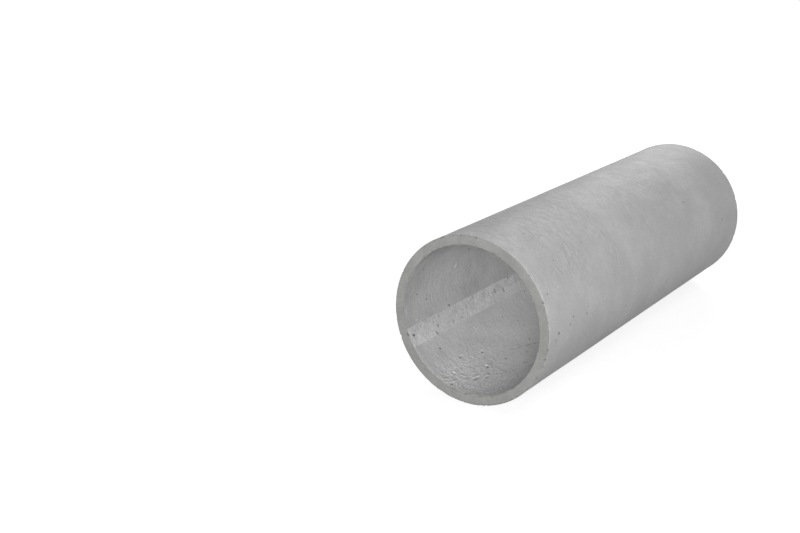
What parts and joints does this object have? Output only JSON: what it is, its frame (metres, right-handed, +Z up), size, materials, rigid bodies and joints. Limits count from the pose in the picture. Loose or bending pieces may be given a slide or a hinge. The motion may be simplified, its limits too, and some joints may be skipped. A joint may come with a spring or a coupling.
{
  "type": "concrete sewer pipe",
  "caption": "Straight concrete sewer pipe with a round bore, an even wall and plain square ends, for laying end to end in a drain or culvert.",
  "frame": {"origin": "middle of the line along which the lying pipe touches the ground", "axes": "+X along the bore, +Z up"},
  "size_m": [1, 0.3399, 0.34],
  "materials": {
    "cast_concrete": "bare grey cast concrete, matt, with air voids and soft mottling"
  },
  "bodies": {
    "root": {"pipe_barrel": "cast_concrete"}
  },
  "joints": []
}
